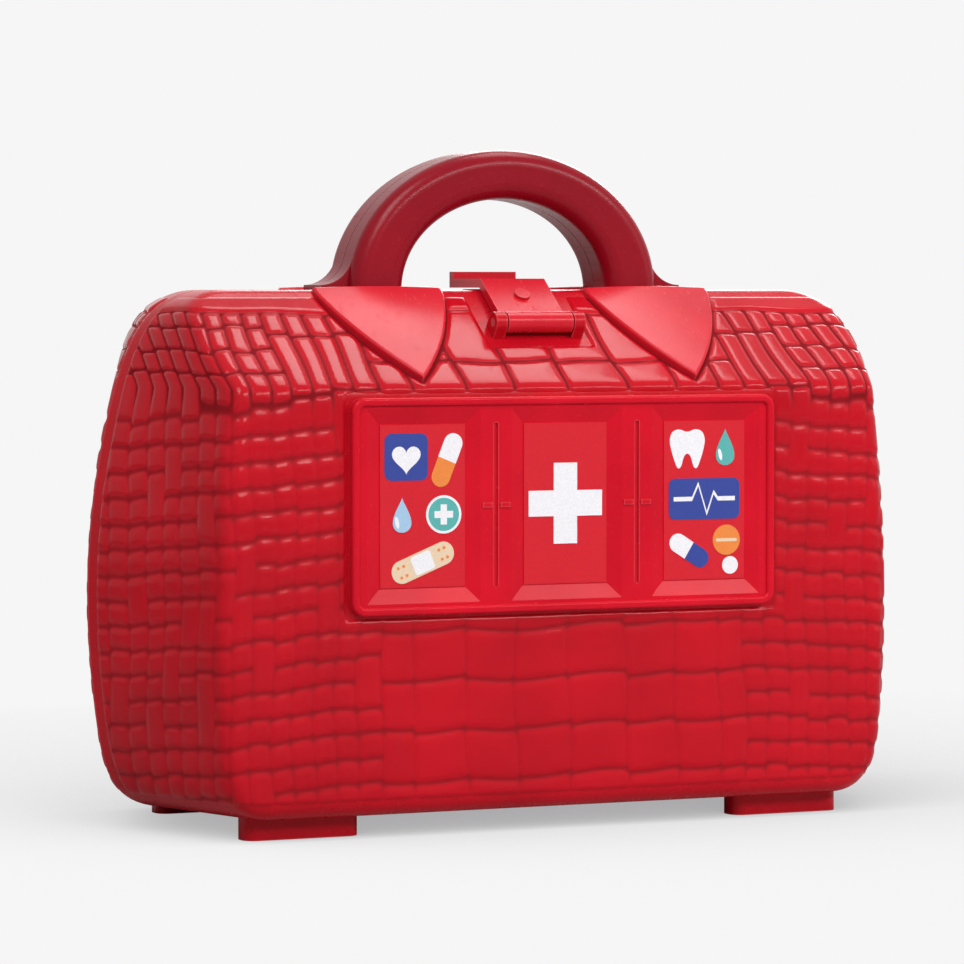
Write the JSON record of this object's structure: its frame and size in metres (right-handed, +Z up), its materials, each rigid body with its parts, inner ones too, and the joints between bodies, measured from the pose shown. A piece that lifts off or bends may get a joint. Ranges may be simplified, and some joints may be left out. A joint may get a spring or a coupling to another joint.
{
  "type": "toy doctor case",
  "caption": "Child's doctor bag in moulded plastic: clamshell halves on bottom hinges, arched handle, swinging clasp and a front panel with labelled windows.",
  "frame": {"origin": "on the floor under the middle of the case, in the parting plane between the two halves", "axes": "+X to the right of a viewer who faces the panel, -Y towards the front panel, +Z up to the handle"},
  "size_m": [0.248, 0.0991, 0.191],
  "materials": {
    "shell": "embossed, semi-gloss",
    "handle": "smooth, semi-gloss",
    "tab": "smooth, glossy",
    "panel": "smooth, glossy",
    "label": "printed film",
    "clasp": "smooth, glossy",
    "pin": "drawn wire"
  },
  "bodies": {
    "rear": {"rear_shell": "shell", "rear_handle": "handle", "rear_left_tab": "tab", "rear_right_tab": "tab", "left_hinge_pin": "pin", "right_hinge_pin": "pin"},
    "front": {"front_shell": "shell", "front_handle": "handle", "front_left_tab": "tab", "front_right_tab": "tab", "sticker_panel": "panel", "left_sticker": "label", "cross_sticker": "label", "right_sticker": "label", "clasp_pin": "pin"},
    "clasp": {"clasp": "clasp"}
  },
  "joints": [
    {"name": "front_hinge", "type": "hinge", "parent": "rear", "child": "front", "pos_m": [0, 0, 0.004], "axis": [1, 0, 0], "range_deg": [0, 160]},
    {"name": "clasp_swing", "type": "hinge", "parent": "front", "child": "clasp", "pos_m": [0, -0.03016, 0.14188], "axis": [1, 0, 0], "range_deg": [0, 120]}
  ]
}
